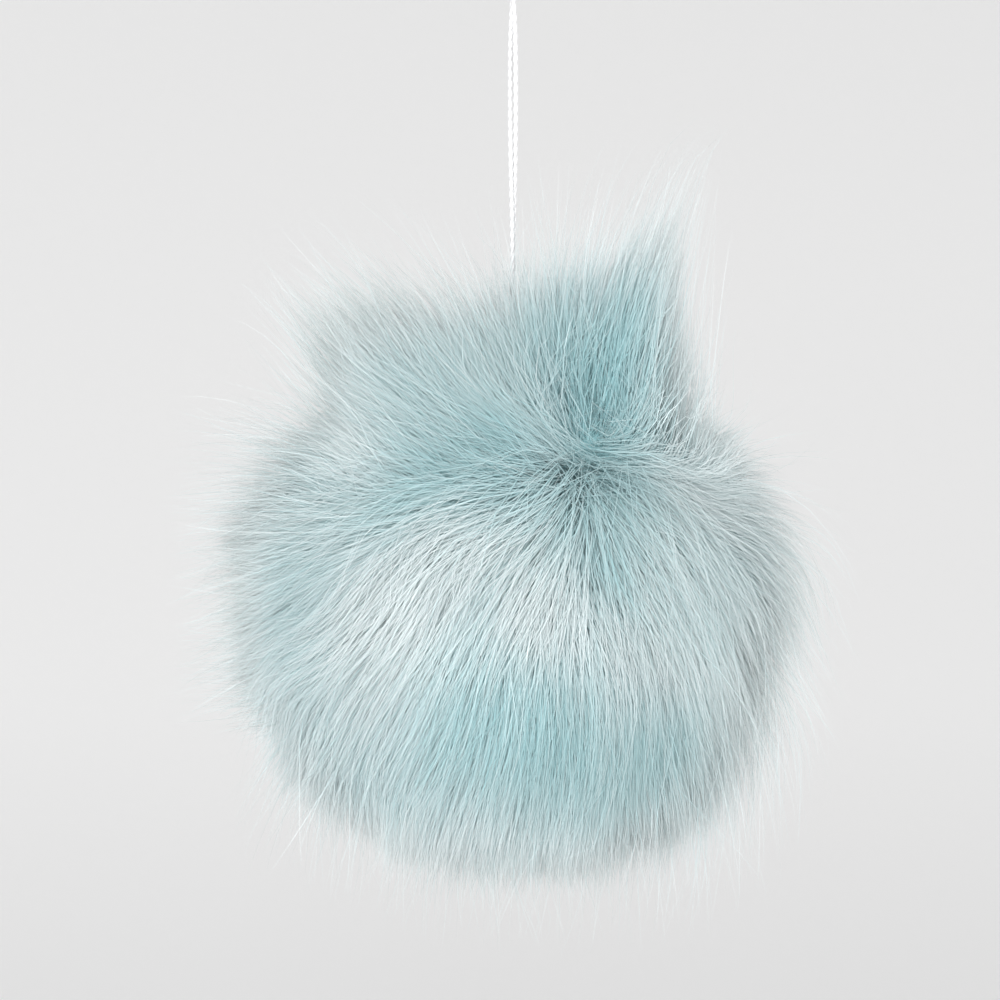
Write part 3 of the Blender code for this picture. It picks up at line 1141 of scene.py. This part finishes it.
def grow_layer(context, name, piece_names):
    """Grows a layer and shares its hairs out among pieces of like angle round the ball."""
    sizes = context.scene.pom_pom_fur
    layer = dict(LAYERS[name])
    layer["locks"] = max(int(layer["locks"] * sizes.density), 8)
    rng = np.random.default_rng(sizes.seed + len(name))
    points, strand, lock = grown_paths(layer, sizes, rng)
    width = between(rng, layer["width"], len(points))
    tone = shared_values(rng, layer["tone"], strand, lock, TONE_SHARES)
    tone = hair_tones(points, tone, strand, sizes, rng)
    material = fur_material(sizes)
    middle = unit(points[:, 0])
    sector = np.degrees(np.arctan2(middle[:, 0], -middle[:, 1])) % 360
    share = 360.0 / len(piece_names)
    for number, piece_name in enumerate(piece_names):
        mine = np.floor(((sector + share / 2.0) % 360.0) / share) == number
        if len(piece_names) == 1:
            mine[:] = True
        hairs = points[mine], width[mine], tone[mine]
        mesh = ribbon_mesh(piece_name, *hairs, layer["roll"], rng)
        made = piece(piece_name, mesh, material)
        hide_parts("fur_ball")


class POMPOM_OT_underhair(Operator):
    """Grow the short dense underhair"""

    bl_idname = "pompom.underhair"
    bl_label = "Underhair"

    def execute(self, context):
        grow_layer(context, "underhair", ("underhair",))
        return {"FINISHED"}


class POMPOM_OT_pile(Operator):
    """Grow the long combed pile, in four pieces round the ball"""

    bl_idname = "pompom.pile"
    bl_label = "Pile"

    def execute(self, context):
        grow_layer(context, "pile", ("pile_front", "pile_right", "pile_back", "pile_left"))
        return {"FINISHED"}


class POMPOM_OT_guard_hairs(Operator):
    """Grow the long pale hairs that lie over the pile"""

    bl_idname = "pompom.guard_hairs"
    bl_label = "Guard hairs"

    def execute(self, context):
        grow_layer(context, "guard_hairs", ("guard_hairs_front", "guard_hairs_back"))
        return {"FINISHED"}


class POMPOM_OT_flyaways(Operator):
    """Grow the thin stray hairs that stand out of the pile"""

    bl_idname = "pompom.flyaways"
    bl_label = "Flyaways"

    def execute(self, context):
        grow_layer(context, "flyaways", ("flyaways",))
        return {"FINISHED"}


def smooth_route(route, step):
    """Points a step apart on the smooth cubic curve through the route's points, whose
    direction at each is that from the point before it to the one after."""
    ends = [2 * route[0] - route[1], 2 * route[-1] - route[-2]]
    held = np.concatenate([ends[:1], route, ends[1:]])
    share = np.linspace(0.0, 1.0, 40, endpoint=False)[:, None]
    fine = []
    for before, start, end, after in zip(held, held[1:], held[2:], held[3:]):
        fine.append(
            0.5
            * (
                2.0 * start
                + (end - before) * share
                + (2.0 * before - 5.0 * start + 4.0 * end - after) * share**2
                + (3.0 * start - before - 3.0 * end + after) * share**3
            )
        )
    fine = np.concatenate(fine + [route[-1:]])
    run = np.concatenate([[0.0], np.cumsum(np.linalg.norm(np.diff(fine, axis=0), axis=1))])
    places = np.linspace(0.0, run[-1], int(round(run[-1] / step)) + 1)
    return np.stack([np.interp(places, run, axis) for axis in fine.T], axis=1), run[-1]


def carried_frames(line):
    """Two directions across the line at each point, turning as little as they can."""
    run = unit(np.gradient(line, axis=0))
    across = np.array([1.0, 0.0, 0.0])
    first = []
    for way in run:
        across = across - (across @ way) * way
        across = across / np.linalg.norm(across)
        first.append(across)
    first = np.array(first)
    return first, np.cross(run, first)


def cord_material(sizes):
    """White yarn, a little greyer in the grooves between its plies."""
    made = bpy.data.materials.new("cord_yarn")
    made.use_nodes = True
    tree = made.node_tree
    shader = tree.nodes["Principled BSDF"]
    where = node(tree, "ShaderNodeTexCoord", (-900, 0))
    fibres = node(tree, "ShaderNodeTexNoise", (-700, 0))
    fibres.inputs["Scale"].default_value = 4000.0
    fibres.inputs["Detail"].default_value = 2.0
    light = tuple(sizes.colour)
    # Painted shade: the yarn is painted darker in the grooves between its plies, by the
    # crest attribute
    groove_shade = tuple(0.80 * value for value in light)
    crest = node(tree, "ShaderNodeAttribute", (-900, 220), attribute_name="crest")
    colours = ramp(tree, (-450, 220), ((0.15, groove_shade), (0.8, light)))
    bump = node(tree, "ShaderNodeBump", (-450, -260))
    bump.inputs["Strength"].default_value = 0.35
    bump.inputs["Distance"].default_value = 0.00005
    tree.links.new(where.outputs["Object"], fibres.inputs["Vector"])
    tree.links.new(crest.outputs["Fac"], colours.inputs["Fac"])
    tree.links.new(fibres.outputs["Fac"], bump.inputs["Height"])
    tree.links.new(colours.outputs["Color"], shader.inputs["Base Color"])
    tree.links.new(bump.outputs["Normal"], shader.inputs["Normal"])
    shader.inputs["Roughness"].default_value = 0.6
    shader.inputs["Sheen Weight"].default_value = 0.3
    return made


class POMPOM_OT_cord(Operator):
    """Twist the doubled cord and its loop"""

    bl_idname = "pompom.cord"
    bl_label = "Hanging cord"

    def execute(self, context):
        sizes = context.scene.pom_pom_cord
        line, length = smooth_route(np.array(CORD_ROUTE) * MM, CORD_STEP)
        across, other = carried_frames(line)
        around = CORD_CORNERS
        turn = np.linspace(0.0, 2.0 * math.pi, around, endpoint=False)[None, :]
        run = np.linspace(0.0, length, len(line))[:, None]
        phase = 2.0 * math.pi * run / sizes.pitch
        crest = np.abs(np.cos(0.5 * PLIES * (turn - phase)))
        radius = 0.5 * sizes.diameter * (CORD_GROOVE + CORD_CREST * crest)
        places = (
            line[:, None, :]
            + radius[:, :, None] * np.cos(turn)[:, :, None] * across[:, None, :]
            + radius[:, :, None] * np.sin(turn)[:, :, None] * other[:, None, :]
        )
        number = np.arange(len(line) * around).reshape(len(line), around)
        after = np.roll(number, -1, axis=1)
        quads = np.stack([number[:-1], after[:-1], after[1:], number[1:]], axis=2)
        caps = [number[0][::-1].tolist(), number[-1].tolist()]
        mesh = bpy.data.meshes.new("hanging_cord_yarn")
        faces = quads.reshape(-1, 4).tolist() + caps
        mesh.from_pydata(places.reshape(-1, 3).tolist(), [], faces)
        mesh.polygons.foreach_set("use_smooth", np.ones(len(mesh.polygons), bool))
        # The crest attribute is also the mask of the yarn's painted groove shade
        height = mesh.attributes.new("crest", "FLOAT", "POINT")
        height.data.foreach_set("value", np.broadcast_to(crest, radius.shape).ravel())
        made = piece("hanging_cord_yarn", mesh, cord_material(sizes))
        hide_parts("hanging_cord")
        return {"FINISHED"}


def room_material(colour, glow):
    """A matt room that glows a little and goes darker towards its floor."""
    made = bpy.data.materials.new("room")
    made.use_nodes = True
    tree = made.node_tree
    shader = tree.nodes["Principled BSDF"]
    where = node(tree, "ShaderNodeTexCoord", (-900, 0))
    height = node(tree, "ShaderNodeSeparateXYZ", (-720, 0))
    # Painted shade: the room is painted darker from here down towards its floor
    share = node(tree, "ShaderNodeMapRange", (-520, 0))
    share.inputs["From Min"].default_value = -0.75
    share.inputs["From Max"].default_value = -0.35
    foot = tuple(0.86 * value for value in colour)
    colours = ramp(tree, (-300, 0), ((0.0, foot), (1.0, colour)))
    tree.links.new(where.outputs["Object"], height.inputs[0])
    tree.links.new(height.outputs["Z"], share.inputs["Value"])
    tree.links.new(share.outputs["Result"], colours.inputs["Fac"])
    tree.links.new(colours.outputs["Color"], shader.inputs["Base Color"])
    shader.inputs["Roughness"].default_value = 1.0
    shader.inputs["Specular IOR Level"].default_value = 0.0
    shader.inputs["Emission Color"].default_value = (1.0, 1.0, 1.0, 1.0)
    shader.inputs["Emission Strength"].default_value = glow
    return made


def soft_light(name, place, aim, size, watts):
    """A square light at a place, turned to face its aim."""
    data = bpy.data.lights.new(name, "AREA")
    data.shape = "SQUARE"
    data.size = size
    data.energy = watts
    light = bpy.data.objects.new(name, data)
    light.location = place
    way = Vector(aim) - Vector(place)
    light.rotation_euler = way.to_track_quat("-Z", "Y").to_euler()
    bpy.context.scene.collection.objects.link(light)


class POMPOM_OT_stage(Operator):
    """Set up the camera, the round room and the soft lights"""

    bl_idname = "pompom.stage"
    bl_label = "Stage"

    def execute(self, context):
        sizes = context.scene.pom_pom_stage
        scene = context.scene
        camera_data = bpy.data.cameras.new("camera")
        camera_data.lens = CAMERA_LENS
        camera_data.sensor_width = CAMERA_SENSOR
        camera = bpy.data.objects.new("camera", camera_data)
        camera.location = CAMERA_PLACE
        camera.rotation_euler = (math.radians(90.0), 0.0, 0.0)
        scene.collection.objects.link(camera)
        scene.camera = camera
        self.make_room(sizes)
        centre = tuple(BALL_CENTRE)
        soft_light("key_light", KEY_PLACE, centre, KEY_SIZE, sizes.key)
        soft_light("side_light", SIDE_PLACE, centre, FILL_SIZE, SIDE_SHARE * sizes.key)
        soft_light("low_light", LOW_PLACE, centre, FILL_SIZE, LOW_SHARE * sizes.key)
        world = bpy.data.worlds.new("even_light")
        world.use_nodes = True
        background = world.node_tree.nodes["Background"]
        background.inputs["Color"].default_value = (1.0, 1.0, 1.0, 1.0)
        background.inputs["Strength"].default_value = sizes.fill
        scene.world = world
        scene.view_settings.view_transform = "Standard"
        scene.view_settings.look = "None"
        scene.cycles.max_bounces = 2
        scene.cycles.diffuse_bounces = 2
        scene.cycles.transmission_bounces = 2
        scene.cycles.glossy_bounces = 1
        return {"FINISHED"}

    def make_room(self, sizes):
        """A floor that curves up into a round wall: a profile turned about the ball."""
        angle = np.linspace(0.0, 0.5 * math.pi, BEND_STEPS)
        foot = WALL_RADIUS - WALL_BEND
        curve_out = foot + WALL_BEND * np.sin(angle)
        curve_up = FLOOR_UP + WALL_BEND * (1.0 - np.cos(angle))
        out = np.concatenate([[FLOOR_MIDDLE, foot], curve_out, [WALL_RADIUS]])
        up = np.concatenate([[FLOOR_UP, FLOOR_UP], curve_up, [WALL_TOP]])
        turn = np.linspace(0.0, 2.0 * math.pi, ROOM_CORNERS, endpoint=False)
        ring = np.stack([np.cos(turn), np.sin(turn)], axis=1)
        places = np.concatenate(
            [
                out[:, None, None] * ring[None, :, :],
                np.broadcast_to(up[:, None, None], (len(out), len(turn), 1)),
            ],
            axis=2,
        ).reshape(-1, 3)
        places = np.concatenate([places, [[0.0, 0.0, FLOOR_UP]]])
        number = np.arange(len(out) * len(turn)).reshape(len(out), len(turn))
        after = np.roll(number, -1, axis=1)
        quads = np.stack([number[:-1], number[1:], after[1:], after[:-1]], axis=2)
        middle = np.full(len(turn), len(places) - 1)
        disc = np.stack([middle, number[0], after[0]], axis=1)
        mesh = bpy.data.meshes.new("room")
        faces = quads.reshape(-1, 4).tolist() + disc.tolist()
        mesh.from_pydata(places.tolist(), [], faces)
        mesh.polygons.foreach_set("use_smooth", np.ones(len(mesh.polygons), bool))
        mesh.materials.append(room_material(tuple(sizes.room_colour), sizes.glow))
        room = bpy.data.objects.new("room", mesh)
        bpy.context.scene.collection.objects.link(room)


class POMPOM_PT_panel(Panel):
    """Lists the pom pom's steps and sizes"""

    bl_idname = "POMPOM_PT_panel"
    bl_label = "Pom Pom"
    bl_space_type = "VIEW_3D"
    bl_region_type = "UI"
    bl_category = "Pom Pom"

    def draw(self, context):
        for operator in OPERATORS:
            self.layout.operator(operator.bl_idname)
        for name, group in GROUPS.items():
            for value in group.__annotations__:
                self.layout.prop(getattr(context.scene, name), value)


OPERATORS = (
    POMPOM_OT_stage,
    POMPOM_OT_cord,
    POMPOM_OT_backing,
    POMPOM_OT_underhair,
    POMPOM_OT_pile,
    POMPOM_OT_guard_hairs,
    POMPOM_OT_flyaways,
)
GROUPS = {
    "pom_pom_fur": FurSizes,
    "pom_pom_cord": CordSizes,
    "pom_pom_stage": StageSizes,
}


def register():
    for cls in (*GROUPS.values(), *OPERATORS, POMPOM_PT_panel):
        bpy.utils.register_class(cls)
    for name, group in GROUPS.items():
        setattr(bpy.types.Scene, name, PointerProperty(type=group))


def unregister():
    for name in GROUPS:
        delattr(bpy.types.Scene, name)
    for cls in reversed((*GROUPS.values(), *OPERATORS, POMPOM_PT_panel)):
        bpy.utils.unregister_class(cls)


def main():
    """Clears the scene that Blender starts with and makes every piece."""
    for thing in list(bpy.context.scene.objects):
        if thing.name in ("Cube", "Light", "Camera"):
            bpy.data.objects.remove(thing, do_unlink=True)
    register()
    bpy.ops.pompom.stage()
    bpy.ops.pompom.cord()
    bpy.ops.pompom.backing()
    bpy.ops.pompom.underhair()
    bpy.ops.pompom.pile()
    bpy.ops.pompom.guard_hairs()
    bpy.ops.pompom.flyaways()


if __name__ == "__main__":
    main()
